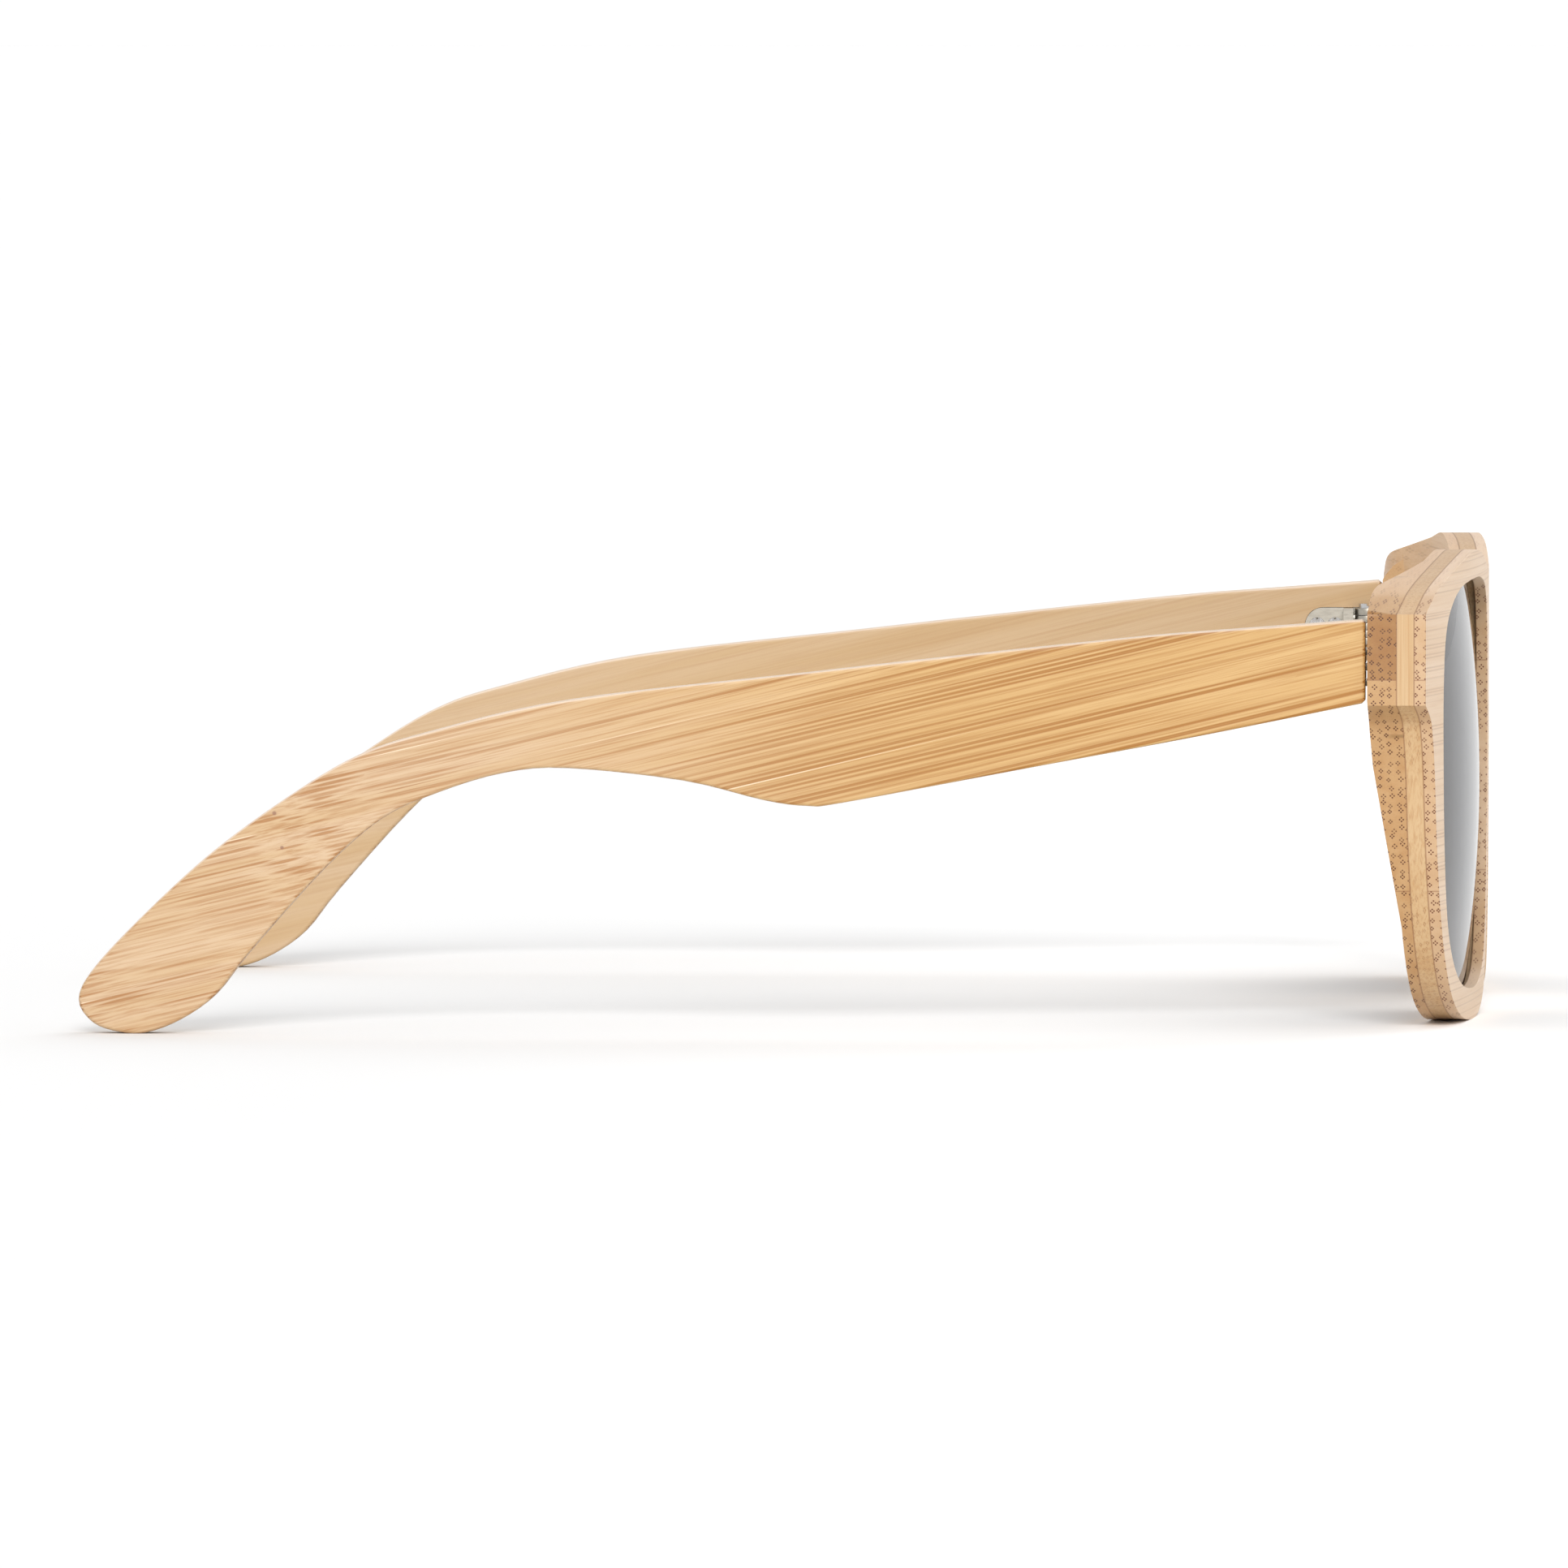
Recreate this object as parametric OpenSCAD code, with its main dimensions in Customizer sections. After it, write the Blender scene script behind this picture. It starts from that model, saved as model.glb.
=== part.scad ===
// Wooden sunglasses: three-ply curved front, two flat temples, two screw hinges.
// Millimetres. Z is up, the front faces -Y, the temples run to +Y, X is across.
// The origin is the middle of the footprint, on the surface that the glasses rest on.

/* [Lens opening and rims] */
// Width of a lens opening
lens_w = 52; // [46:0.5:58]
// Height of a lens opening
lens_h = 43.4; // [37:0.2:48]
// Distance between the two lens openings
bridge_w = 18; // [15:0.5:22]
// Rim height above the lens
rim_top = 3; // [2.4:0.1:5]
// Rim height under the lens
rim_bottom = 3.3; // [2.4:0.1:5]
// Rim width beside the lens, under the end piece
rim_side = 5.9; // [5:0.1:7]
// Rim width beside the nose
rim_nose = 3.3; // [2.6:0.1:4.5]
// Height of the bridge bar at the middle
bridge_h = 13.2; // [9:0.2:16]
// Dip of the brow over the nose
bridge_dip = 2.9; // [1:0.1:5]

/* [End pieces] */
// Reach of an end piece beyond the lens opening
endpiece_l = 11.5; // [11:0.25:14]
// Height of the flat end face
end_face_h = 9.5; // [9:0.1:11]
// Drop of the brow from its top to the end face
brow_drop = 5.65; // [4:0.05:7]

/* [Plies] */
// Radius of the front face, seen from above
wrap_r = 434; // [360:2:560]
// Thickness of the front ply
front_ply_t = 1.2; // [0.9:0.05:1.8]
// Thickness of the core ply
core_ply_t = 1.8; // [1.7:0.05:2.4]
// Thickness of the back ply behind the rims
back_ply_t = 1.15; // [0.8:0.05:1.6]
// Thickness of the back ply at the end pieces
hinge_pad_t = 3.1; // [2.9:0.05:4]

/* [Lenses] */
// Radius of the lens's front surface
lens_r = 160; // [150:1:200]
// Lens thickness
lens_t = 1.4; // [1.2:0.05:2]
// How far the lens's middle stands out of the front face
lens_out = 0.1; // [-0.3:0.05:0.2]
// Thickness of the lens lip
lip_t = 0.5; // [0.4:0.05:0.6]
// Reach of the lens lip into the groove
lip_reach = 0.7; // [0.4:0.05:1]
// Clearance round the lens
lens_clear = 0.1; // [0.05:0.01:0.15]

/* [Nose pads] */
// Height of a nose pad
pad_h = 15; // [11:0.5:17]
// Height of a nose pad's lower end above the rim's bottom
pad_z = 11.5; // [9:0.5:14]
// Width of a nose pad
pad_w = 2.9; // [2.2:0.1:3.4]
// How far a nose pad stands behind the back ply
pad_out = 5; // [3:0.25:6]

/* [Temples] */
// Length of a temple from the end piece to the tip
temple_l = 134.5; // [125:0.5:145]
// Thickness of a temple
temple_t = 3.8; // [3.6:0.1:5]
// How far a temple's outer face lies inside the end face
temple_inset = 0.7; // [0:0.1:1.5]
// Height of a temple at its front end
temple_front_h = 8.5; // [8:0.1:9]
// Distance from the end piece to the deepest place
belly_y = 58.4; // [50:0.2:66]
// Height of a temple at its deepest place
belly_h = 13.9; // [11:0.1:16]
// Distance from the end piece to the neck
neck_y = 83.4; // [76:0.2:90]
// Height of a temple at its neck
neck_h = 7.1; // [6:0.1:9]
// Drop of the top edge from the front end to the neck
neck_drop = 8.5; // [5:0.1:12]
// Round on a temple's long edges
edge_r = 0.35; // [0.2:0.05:0.8]
// Gap between a temple and its end piece
butt_gap = 0.2; // [0.15:0.05:0.5]

/* [Hinges] */
// Thickness of a hinge leaf
leaf_t = 0.9; // [0.7:0.05:1.1]
// Height of the hinge knuckles and of the temple leaf
leaf_h = 4; // [3.6:0.1:4.6]
// Height of the front leaf
front_leaf_h = 5.6; // [5.2:0.1:6]
// Length of the temple leaf
temple_leaf_l = 8.3; // [8:0.1:10]
// Radius of a knuckle
knuckle_r = 1.5; // [1.3:0.05:1.7]
// Gap between two knuckles
knuckle_gap = 0.06; // [0.04:0.01:0.1]
// Radius of the pivot screw
pivot_r = 0.6; // [0.5:0.05:0.7]
// Clearance round the pivot screw
pivot_clear = 0.03; // [0.02:0.01:0.08]
// Clearance between what turns and what stands
turn_clear = 0.15; // [0.1:0.01:0.25]
// Clearance round a leaf in its recess
seat_clear = 0.05; // [0.03:0.01:0.1]
// Radius of a leaf screw
screw_r = 0.5; // [0.4:0.05:0.6]
// Radius of a leaf screw's head
head_r = 0.9; // [0.8:0.05:1]
// Length of a leaf screw
screw_l = 2.6; // [2:0.1:3]
// Clearance round a leaf screw
screw_clear = 0.02; // [0.01:0.01:0.05]

/* [Hidden] */
$fn = 96;
// Points on each stretch of a curve
steps = 4;
knuckles = 5;
big = 60;
eps = 0.01;

nose_x = bridge_w / 2;
lens_x = nose_x + lens_w / 2;
side_x = nose_x + lens_w;
end_x = side_x + endpiece_l;
lens_z = rim_bottom + lens_h / 2;
top_z = rim_bottom + lens_h + rim_top;
end_top_z = top_z - brow_drop;
end_low_z = end_top_z - end_face_h;
bridge_top_z = top_z - bridge_dip;
bridge_low_z = bridge_top_z - bridge_h;

// The back face of the end pieces is y = 0 while the part is built.
front_edge_y = -(hinge_pad_t + core_ply_t + front_ply_t);
axis_y = front_edge_y + sqrt(wrap_r * wrap_r - end_x * end_x);
front_y = axis_y - wrap_r;
core_front_r = wrap_r - front_ply_t;
core_back_r = core_front_r - core_ply_t;
rear_r = core_back_r - back_ply_t;
groove_d = lip_reach + 2 * lens_clear;

temple_out_x = end_x - temple_inset;
temple_in_x = temple_out_x - temple_t;
temple_top_z = end_top_z - 0.6;
hinge_z = temple_top_z - temple_front_h / 2 - 0.8;

pivot_x = temple_in_x - knuckle_r - turn_clear;
pivot_y = knuckle_r + turn_clear;
root_w = knuckle_r * 0.8;
knuckle_h = (leaf_h - (knuckles - 1) * knuckle_gap) / knuckles;
pivot_head_r = knuckle_r * 0.72;
pivot_head_t = 0.5;
block_y = pivot_y + knuckle_r + turn_clear;
block_t = 1.1;
block_x = pivot_x - 0.7 * knuckle_r;
head_t = head_r - screw_r;

front_leaf_in = side_x + groove_d + 0.2;
front_leaf_out = pivot_x + knuckle_r + 0.6;
front_leaf_w = front_leaf_out - front_leaf_in;
front_screw_x = front_leaf_in + head_r + 0.45;
front_screw_dz = head_r + 0.5;
temple_leaf_y = butt_gap + 0.2;
temple_leaf_end = temple_leaf_y + temple_leaf_l;
aft_screw_y = temple_leaf_end - head_r - 0.45;
fore_screw_y = aft_screw_y - 2 * head_r - 0.2;

// A smooth curve through points: one place on the stretch from b to c.
function on_curve(a, b, c, d, t) =
    0.5 * (2 * b + (c - a) * t + (2 * a - 5 * b + 4 * c - d) * t * t
        + (3 * b - a - 3 * c + d) * t * t * t);

// A closed curve through all points.
function closed_curve(p) =
    let (n = len(p))
    [for (i = [0:n - 1]) for (k = [0:steps - 1])
        on_curve(p[(i + n - 1) % n], p[i], p[(i + 1) % n], p[(i + 2) % n], k / steps)];

// An open curve through all points, from the first to the last, with m places on a stretch.
// Points before and after it set the direction at its ends.
function open_curve(p, m = steps, before = undef, after = undef) =
    let (n = len(p),
        first = is_undef(before) ? 2 * p[0] - p[1] : before,
        final = is_undef(after) ? 2 * p[n - 1] - p[n - 2] : after,
        q = concat([first], p, [final]))
    concat(
        [for (i = [0:n - 2]) for (k = [0:m - 1])
            on_curve(q[i], q[i + 1], q[i + 2], q[i + 3], k / m)],
        [p[n - 1]]);

// Outward direction at a point of a clockwise closed list.
function outward(p, i) =
    let (n = len(p), d = p[(i + 1) % n] - p[(i + n - 1) % n])
    [-d[1], d[0]] / norm(d);

// A closed clockwise list moved outward, or inward for a negative distance.
function moved(p, dist) =
    [for (i = [0:len(p) - 1]) p[i] + dist * outward(p, i)];

// The same with true corners, so that each side stays parallel to where it was.
function side_out(p, i) =
    let (n = len(p), d = p[(i + 1) % n] - p[i % n])
    [-d[1], d[0]] / norm(d);
function mitred(p, dist) =
    let (n = len(p))
    [for (i = [0:n - 1])
        let (a = side_out(p, i + n - 1), b = side_out(p, i))
        p[i] + dist * (a + b) / (1 + a * b)];

function mirrored(p) = [for (i = [len(p) - 1:-1:0]) [-p[i][0], p[i][1]]];

// Lens shape as shares of its width and height, clockwise from the top middle.
lens_shape = [
    [0.46, 1], [0.72, 0.988], [0.88, 0.948], [0.968, 0.88], [1, 0.75],
    [1, 0.56], [0.985, 0.36], [0.945, 0.19], [0.86, 0.085], [0.72, 0.022],
    [0.52, 0], [0.33, 0.012], [0.19, 0.065], [0.1, 0.19], [0.045, 0.37],
    [0.008, 0.56], [0, 0.74], [0.03, 0.885], [0.12, 0.965], [0.28, 0.995]];
lens_marks = [for (s = lens_shape) [nose_x + s[0] * lens_w, rim_bottom + s[1] * lens_h]];
lens_line = closed_curve(lens_marks);

// The rim's outer edge follows the lens, from below the end piece to the bridge.
rim_widths = [
    rim_side, 0.36 * rim_side + 0.85 * rim_bottom, 1.17 * rim_bottom, 1.12 * rim_bottom,
    1.03 * rim_bottom, rim_bottom, 1.01 * rim_bottom, rim_nose, rim_nose, rim_nose];
rim_marks = [for (i = [0:len(rim_widths) - 1])
    lens_marks[i + 5] + rim_widths[i] * outward(lens_marks, i + 5)];
rim_top_x = rim_marks[0][0];
arch_x = rim_marks[9][0];
arch_z = rim_marks[9][1];

brow_line = open_curve([
    [0, bridge_top_z],
    [0.26 * lens_x, bridge_top_z + 0.17 * bridge_dip],
    [0.55 * lens_x, bridge_top_z + 0.68 * bridge_dip],
    [0.8 * lens_x, top_z - 0.06 * bridge_dip],
    [lens_x, top_z],
    [lens_x + 0.36 * lens_w / 2, top_z - 0.12 * brow_drop],
    [lens_x + 0.7 * lens_w / 2, top_z - 0.28 * brow_drop],
    [side_x, top_z - 0.465 * brow_drop],
    [side_x + 0.43 * endpiece_l, top_z - 0.63 * brow_drop],
    [side_x + 0.67 * endpiece_l, top_z - 0.77 * brow_drop],
    [end_x, end_top_z]]);
// Under the end face: a share of the way in to the rim, and a share of the way down to it.
function under(in, down) =
    [end_x - in * (end_x - rim_top_x), end_low_z - down * (end_low_z - rim_marks[0][1])];
step_line = open_curve([
    [end_x, end_low_z], under(0.34, 0.12), under(0.6, 0.25), under(0.73, 0.41), under(0.86, 0.66),
    rim_marks[0]]);
rim_line = open_curve([for (i = [0:9]) rim_marks[i]]);
arch_line = open_curve([
    rim_marks[9],
    [0.82 * arch_x, arch_z + 0.4 * (bridge_low_z - arch_z)],
    [0.45 * arch_x, arch_z + 0.85 * (bridge_low_z - arch_z)],
    [0, bridge_low_z]]);

function less_first(p) = [for (i = [1:len(p) - 1]) p[i]];
function less_last(p) = [for (i = [0:len(p) - 2]) p[i]];
half_line = concat(brow_line, step_line, less_first(rim_line), less_first(arch_line));
front_line = concat(half_line, less_last(less_first(mirrored(half_line))));

// Temple outline in (y, z), clockwise from the front end's top corner.
front_low_z = temple_top_z - temple_front_h;
neck_top_z = temple_top_z - neck_drop;
neck_low_z = neck_top_z - neck_h;
belly_top_z = temple_top_z - 0.66 * neck_drop;
belly_low_z = belly_top_z - belly_h;
tip_y = temple_l + butt_gap;
bend_l = tip_y - neck_y;
// Places behind the neck: a share of the way back from the tip, and a share of the neck's height.
function bend(back, up) = [tip_y - back * bend_l, up * neck_top_z];
// The two edges have as many points each, so that the board's faces are ladders between them.
tip_top = bend(0.033, 0.2);
tip_end = bend(0, 0.103);
tip_low = bend(0.029, 0.033);
temple_top = concat(
    [[butt_gap, temple_top_z - edge_r]],
    open_curve([
        [butt_gap + edge_r, temple_top_z],
        [0.2 * belly_y, temple_top_z - 0.1 * neck_drop],
        [0.4 * belly_y, temple_top_z - 0.21 * neck_drop],
        [0.77 * belly_y, temple_top_z - 0.48 * neck_drop],
        [belly_y, belly_top_z],
        [neck_y, neck_top_z],
        bend(0.707, 0.901), bend(0.565, 0.83), bend(0.428, 0.71), bend(0.273, 0.544),
        bend(0.14, 0.366), tip_top, tip_end], 6, undef, tip_low));
temple_low = concat(
    open_curve([
        tip_end, tip_low,
        bend(0.084, 0.0046), bend(0.14, 0.0037), bend(0.21, 0.043), bend(0.28, 0.117),
        bend(0.35, 0.246), bend(0.502, 0.495), bend(0.619, 0.644), bend(0.736, 0.724),
        [tip_y - 0.869 * bend_l, neck_low_z - 0.07 * neck_h],
        [neck_y, neck_low_z],
        [0.52 * neck_y + 0.48 * belly_y, neck_low_z - 0.18 * neck_h],
        [belly_y + 0.33 * belly_h, belly_low_z + 0.043 * belly_h],
        [belly_y, belly_low_z],
        [belly_y - 0.29 * belly_h, belly_low_z + 0.029 * belly_h],
        [0.6 * belly_y, 0.6 * belly_low_z + 0.4 * front_low_z - edge_r],
        [0.3 * belly_y, 0.3 * belly_low_z + 0.7 * front_low_z - edge_r],
        [butt_gap + edge_r, front_low_z - 0.6 * edge_r]], 4, tip_top),
    [[butt_gap, front_low_z + 0.4 * edge_r]]);
temple_line = concat(temple_top, less_first(temple_low));
tip_end_y = max([for (p = temple_line) p[0]]);
mid_y = (front_y + tip_end_y) / 2;

// From the building place to the part's own origin.
module placed() {
    translate([0, -mid_y, 0]) children();
}

// The wearer's left side is +X. The right side is its mirror image.
module right_side() {
    mirror([1, 0, 0]) children();
}

module upright(r) {
    translate([0, axis_y, -5]) cylinder(r = r, h = top_z + 10, $fn = 360);
}

// A flat outline in (x, z), swept through the depth of the front.
module through_front(points) {
    translate([0, hinge_pad_t, 0]) rotate([90, 0, 0])
        linear_extrude(height = 2 * hinge_pad_t - front_y) polygon(points);
}

module rim_blank(opening_d) {
    difference() {
        through_front(front_line);
        through_front(moved(lens_line, opening_d));
        mirror([1, 0, 0]) through_front(moved(lens_line, opening_d));
    }
}

module front_ply_shape() {
    intersection() {
        rim_blank(0);
        difference() {
            upright(wrap_r);
            upright(core_front_r);
        }
    }
}

module core_ply_shape() {
    intersection() {
        rim_blank(groove_d);
        difference() {
            upright(core_front_r);
            upright(core_back_r);
        }
    }
}

// The back ply grows thicker along the brow, seen from above: flat at the end face, then a slope.
module brow_ramp() {
    slope_in = lens_x + 0.21 * lens_w;
    slope_l = end_x - slope_in;
    rear_y = axis_y - sqrt(rear_r * rear_r - slope_in * slope_in);
    function on_slope(in, back) = [end_x - in * slope_l, back * rear_y];
    translate([0, 0, hinge_z]) linear_extrude(height = top_z - hinge_z + brow_drop) polygon(concat(
        [[slope_in, rear_y - hinge_pad_t], [end_x + 1, rear_y - hinge_pad_t], [end_x + 1, 0]],
        open_curve([
            on_slope(0, 0), on_slope(0.2, 0.06), on_slope(0.36, 0.17), on_slope(0.5, 0.39),
            on_slope(0.64, 0.6), on_slope(0.82, 0.82), on_slope(1, 1)])));
}

// Flat seat for the temple's front end and the front leaf, seen from the side.
// It rounds off to the brow, tapers down the side of the rim, and slopes off to the lens.
module hinge_seat() {
    low = end_low_z + 0.5;
    high = end_top_z - 0.4;
    d = hinge_pad_t;
    slope_x = (side_x + front_leaf_in) / 2;
    intersection() {
        translate([lens_x, 0, 0]) rotate([90, 0, 90])
            linear_extrude(height = lens_w) polygon([
                [-3 * d, 0.13 * low], [-1.49 * d, 0.13 * low], [-0.174 * d, 0.8 * low],
                [-0.07 * d, 0.905 * low], [0, low], [0, high], [-0.12 * d, high + 0.22 * d],
                [-0.4 * d, high + 0.55 * d], [-1.1 * d, high + d], [-3 * d, high + 1.1 * d]]);
        linear_extrude(height = top_z) polygon([
            [end_x + d, d], [slope_x, d], [slope_x, 0], [slope_x - 1.7 * d, -1.5 * d],
            [slope_x - 2.2 * d, -3.1 * d], [end_x + d, -3.1 * d]]);
    }
}

module back_half_cuts() {
    front_leaf_recess();
    for (s = [-1, 1]) {
        translate([front_screw_x, -leaf_t, hinge_z + s * front_screw_dz]) rotate([90, 0, 0])
            cylinder(r = screw_r + screw_clear, h = screw_l + 0.1 - leaf_t);
    }
}

module back_ply_shape() {
    difference() {
        intersection() {
            rim_blank(0);
            difference() {
                upright(core_back_r);
                difference() {
                    upright(rear_r);
                    brow_ramp();
                    hinge_seat();
                    right_side() brow_ramp();
                    right_side() hinge_seat();
                }
            }
        }
        back_half_cuts();
        right_side() back_half_cuts();
    }
}

module front_leaf_recess() {
    c = seat_clear;
    translate([front_leaf_in - c, -leaf_t, hinge_z - front_leaf_h / 2 - c])
        cube([front_leaf_w + 2 * c, leaf_t + 2, front_leaf_h + 2 * c]);
}

module lens_ball(r) {
    a = asin(lens_x / wrap_r);
    d = wrap_r + lens_out - lens_r;
    translate([d * sin(a), axis_y - d * cos(a), lens_z]) sphere(r = r, $fn = 180);
}

module lens_shape_solid() {
    intersection() {
        through_front(moved(lens_line, -lens_clear));
        difference() {
            lens_ball(lens_r);
            lens_ball(lens_r - lens_t);
        }
    }
    intersection() {
        through_front(moved(lens_line, lip_reach));
        difference() {
            lens_ball(lens_r - 0.05);
            lens_ball(lens_r - 0.05 - lip_t);
        }
    }
}

// Nose pad: a crescent along the rim's nose edge, with a rounded back that slopes off at the top.
module nose_pad_shape() {
    edge = [for (i = [0:len(lens_line) - 1])
        if (lens_line[i][0] < lens_x && lens_line[i][1] > pad_z
            && lens_line[i][1] < pad_z + pad_h) i];
    n = len(edge);
    skin = 0.15 * pad_w;
    near = [for (i = edge) lens_line[i] + skin * outward(lens_line, i)];
    far = [for (k = [n - 1:-1:0])
        lens_line[edge[k]] + (skin + pad_w * pow(sin(180 * (k + 0.35) / (n - 0.3)), 0.45))
            * outward(lens_line, edge[k])];
    rear_y = axis_y - rear_r;
    intersection() {
        through_front(concat(near, far));
        upright(rear_r);
        rotate([90, 0, 90]) linear_extrude(height = lens_x) polygon(concat(
            [[rear_y - pad_out, pad_z + 1.1 * pad_h], [rear_y - pad_out, pad_z - 0.1 * pad_h]],
            open_curve([
                [rear_y + 0.1 * pad_out, pad_z - 0.1 * pad_h],
                [rear_y + 0.62 * pad_out, pad_z + 0.02 * pad_h],
                [rear_y + 0.93 * pad_out, pad_z + 0.16 * pad_h],
                [rear_y + pad_out, pad_z + 0.33 * pad_h],
                [rear_y + 0.9 * pad_out, pad_z + 0.52 * pad_h],
                [rear_y + 0.62 * pad_out, pad_z + 0.75 * pad_h],
                [rear_y + 0.3 * pad_out, pad_z + 0.95 * pad_h],
                [rear_y + 0.1 * pad_out, pad_z + 1.1 * pad_h]], 6)));
    }
}

// A board between two faces, with its long edges rounded off. Its outline starts and ends
// at the board's front end, with the tip half way.
module board(line, x0, x1, r) {
    k = 1 - sqrt(0.5);
    rings = [[x0, r], [x0 + k * r, k * r], [x0 + r, 0], [x1 - r, 0], [x1 - k * r, k * r], [x1, r]];
    n = len(line);
    h = (n - 1) / 2;
    last = (len(rings) - 1) * n;
    points = [for (g = rings) for (p = mitred(line, -g[1])) [g[0], p[0], p[1]]];
    sides = [for (j = [0:len(rings) - 2]) for (i = [0:n - 1])
        [j * n + i, j * n + (i + 1) % n, (j + 1) * n + (i + 1) % n, (j + 1) * n + i]];
    inner = concat([for (i = [0:h - 2]) [n - 1 - i, n - 2 - i, i + 1, i]], [[h + 1, h, h - 1]]);
    outer = concat(
        [for (i = [0:h - 2]) [last + i, last + i + 1, last + n - 2 - i, last + n - 1 - i]],
        [[last + h - 1, last + h, last + h + 1]]);
    polyhedron(points, concat(sides, inner, outer));
}

module temple_leaf_outline(c) {
    r = leaf_h / 2;
    translate([temple_leaf_y - c, -r - c]) square([temple_leaf_l - r + c, 2 * r + 2 * c]);
    translate([temple_leaf_end - r, 0]) circle(r = r + c);
}

// The temple leaf's outline swept along X from x0, by the distance t.
module leaf_slab(c, x0, t) {
    translate([x0, 0, hinge_z]) rotate([90, 0, 90]) linear_extrude(height = t)
        temple_leaf_outline(c);
}

module temple_shape() {
    difference() {
        board(temple_line, temple_in_x, temple_out_x, edge_r);
        leaf_slab(seat_clear, temple_in_x - 1, leaf_t + 1);
        translate([temple_in_x - 1, -1, hinge_z - leaf_h / 2 - seat_clear])
            cube([leaf_t + 1, 2 + temple_leaf_y, leaf_h + 2 * seat_clear]);
        for (y = [fore_screw_y, aft_screw_y]) {
            translate([temple_in_x + leaf_t, y, hinge_z]) rotate([0, 90, 0])
                cylinder(r = screw_r + screw_clear, h = screw_l + 0.1 - leaf_t);
        }
    }
}

// One knuckle, counted from the bottom, with its root block.
module knuckle(i) {
    translate([pivot_x, pivot_y, hinge_z - leaf_h / 2 + i * (knuckle_h + knuckle_gap)]) {
        cylinder(r = knuckle_r, h = knuckle_h);
        children();
    }
}

module pivot_bore() {
    translate([pivot_x, pivot_y, hinge_z - leaf_h])
        cylinder(r = pivot_r + pivot_clear, h = 2 * leaf_h);
}

// A countersunk hole through a leaf, looking along +Z from the leaf's free face.
module sink() {
    translate([0, 0, -eps]) cylinder(r = screw_r + screw_clear, h = leaf_t + 2 * eps);
    translate([0, 0, -eps])
        cylinder(r1 = head_r + screw_clear + eps, r2 = screw_r + screw_clear, h = head_t + eps);
}

module leaf_screw() {
    difference() {
        union() {
            cylinder(r1 = head_r, r2 = screw_r, h = head_t);
            cylinder(r = screw_r, h = screw_l);
        }
        translate([-head_r, -0.12, -1]) cube([2 * head_r, 0.24, 1.2]);
    }
}

module at_front_screw(s) {
    translate([front_screw_x, 0, hinge_z + s * front_screw_dz]) rotate([90, 0, 0]) children();
}

module at_temple_screw(y) {
    translate([temple_in_x, y, hinge_z]) rotate([0, 90, 0]) children();
}

module front_leaf_shape() {
    difference() {
        union() {
            translate([front_leaf_in, -leaf_t, hinge_z - front_leaf_h / 2])
                cube([front_leaf_w, leaf_t, front_leaf_h]);
            for (i = [0:2:knuckles - 1]) {
                knuckle(i) translate([-root_w, -pivot_y - leaf_t / 2, 0])
                    cube([2 * root_w, pivot_y + leaf_t / 2, knuckle_h]);
            }
        }
        pivot_bore();
        at_front_screw(1) sink();
        at_front_screw(-1) sink();
    }
}

module temple_leaf_shape() {
    reach = temple_in_x + leaf_t / 2 - pivot_x;
    difference() {
        union() {
            leaf_slab(0, temple_in_x, leaf_t);
            translate([block_x, block_y, hinge_z - leaf_h / 2])
                cube([temple_in_x + leaf_t / 2 - block_x, block_t, leaf_h]);
            for (i = [1:2:knuckles - 1]) {
                knuckle(i) translate([0, -root_w, 0])
                    cube([reach, block_y - pivot_y + block_t / 2 + root_w, knuckle_h]);
            }
        }
        pivot_bore();
        at_temple_screw(fore_screw_y) sink();
        at_temple_screw(aft_screw_y) sink();
    }
}

module pivot_screw_shape() {
    translate([pivot_x, pivot_y, hinge_z - leaf_h / 2]) difference() {
        union() {
            cylinder(r = pivot_r, h = leaf_h + pivot_head_t / 2);
            translate([0, 0, leaf_h]) cylinder(r = pivot_head_r, h = pivot_head_t);
        }
        translate([-pivot_head_r, -0.14, leaf_h + 0.5 * pivot_head_t])
            cube([2 * pivot_head_r, 0.28, pivot_head_t]);
    }
}

module front_ply() { color("Wheat") placed() front_ply_shape(); }
module core_ply() { color("BurlyWood") placed() core_ply_shape(); }
module back_ply() { color("Tan") placed() back_ply_shape(); }
module nose_pad_left() { color("BurlyWood") placed() nose_pad_shape(); }
module nose_pad_right() { color("BurlyWood") placed() right_side() nose_pad_shape(); }
module lens_left() { color("DimGray", 0.7) placed() lens_shape_solid(); }
module lens_right() { color("DimGray", 0.7) placed() right_side() lens_shape_solid(); }
module temple_left() { color("BurlyWood") placed() temple_shape(); }
module temple_right() { color("BurlyWood") placed() right_side() temple_shape(); }
module front_leaf_left() { color("Silver") placed() front_leaf_shape(); }
module front_leaf_right() { color("Silver") placed() right_side() front_leaf_shape(); }
module temple_leaf_left() { color("Silver") placed() temple_leaf_shape(); }
module temple_leaf_right() { color("Silver") placed() right_side() temple_leaf_shape(); }
module pivot_screw_left() { color("Gray") placed() pivot_screw_shape(); }
module pivot_screw_right() { color("Gray") placed() right_side() pivot_screw_shape(); }
module front_screw_left(s) { color("Gray") placed() at_front_screw(s) leaf_screw(); }
module front_screw_right(s) { color("Gray") placed() right_side() at_front_screw(s) leaf_screw(); }
module temple_screw_left(y) { color("Gray") placed() at_temple_screw(y) leaf_screw(); }
module temple_screw_right(y) { color("Gray") placed() right_side() at_temple_screw(y) leaf_screw(); }

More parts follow.
